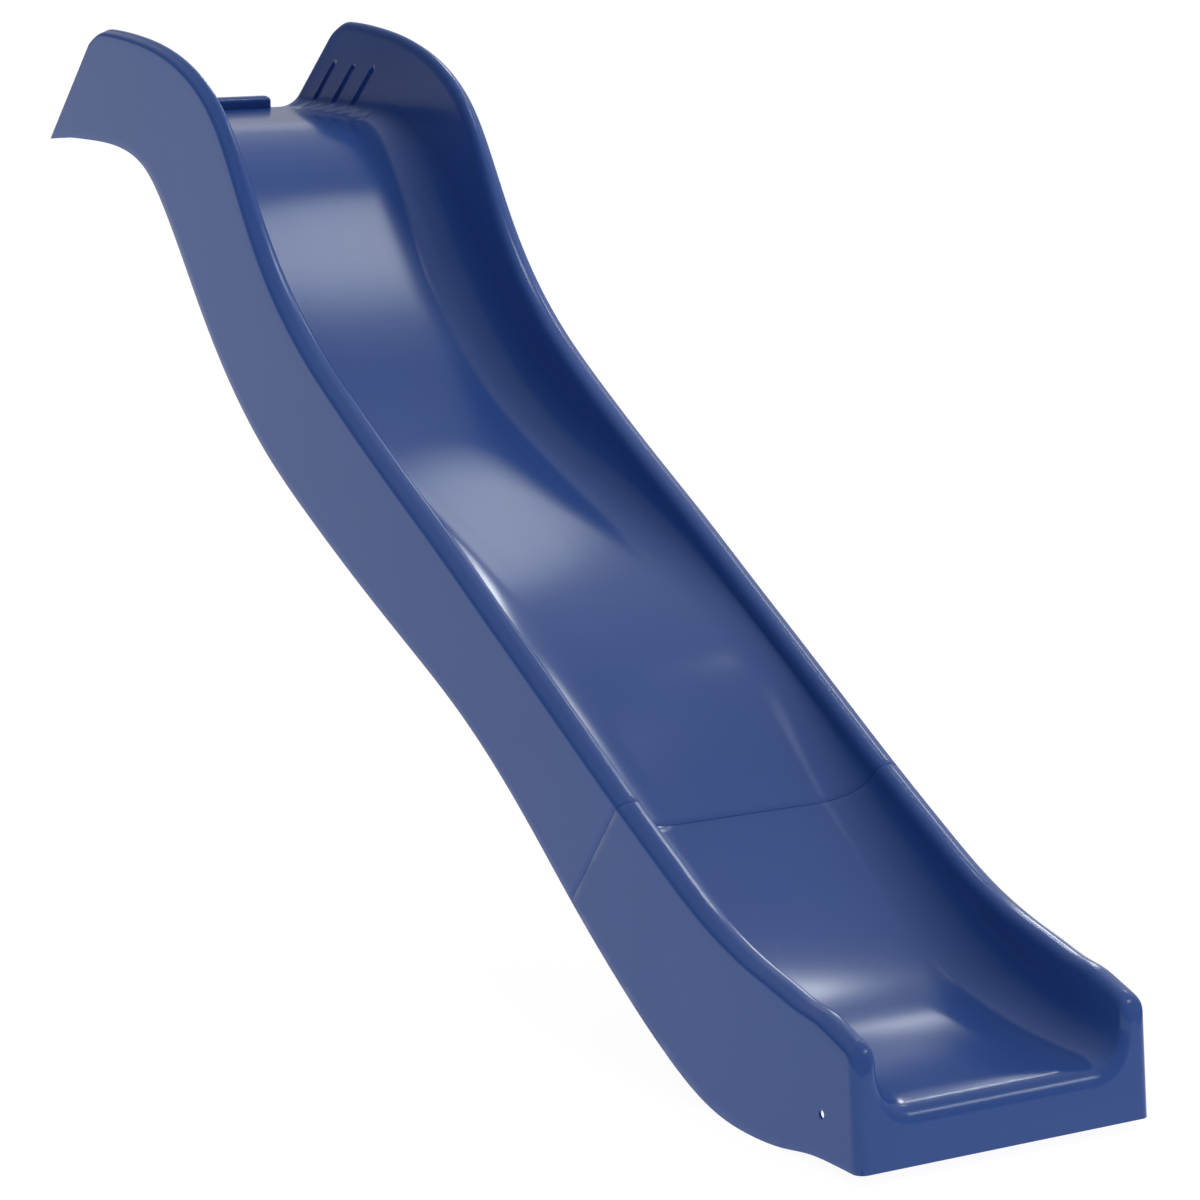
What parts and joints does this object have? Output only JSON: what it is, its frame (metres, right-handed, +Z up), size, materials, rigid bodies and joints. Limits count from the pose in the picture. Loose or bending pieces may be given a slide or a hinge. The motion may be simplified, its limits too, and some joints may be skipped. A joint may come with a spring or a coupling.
{
  "type": "playground wave slide",
  "caption": "Two-piece moulded wave slide with raised side walls, a platform flange with a rear ridge, grip grooves and a closed exit foot.",
  "frame": {"origin": "on the ground under the middle of the slide's overall length and width", "axes": "+X downhill towards the exit, +Y across, +Z up"},
  "size_m": [2.458, 0.4902, 1.3753],
  "materials": {
    "moulded_plastic": "satin-gloss moulded polyethylene",
    "zinc_hardware": "zinc plated"
  },
  "bodies": {
    "root": {"upper_chute": "moulded_plastic", "lower_chute": "moulded_plastic", "joint_bolts": "zinc_hardware", "bolt_head_washers": "zinc_hardware", "nut_washers": "zinc_hardware", "joint_nuts": "zinc_hardware", "upper_joint_strip": "zinc_hardware", "lower_joint_strip": "zinc_hardware"}
  },
  "joints": []
}
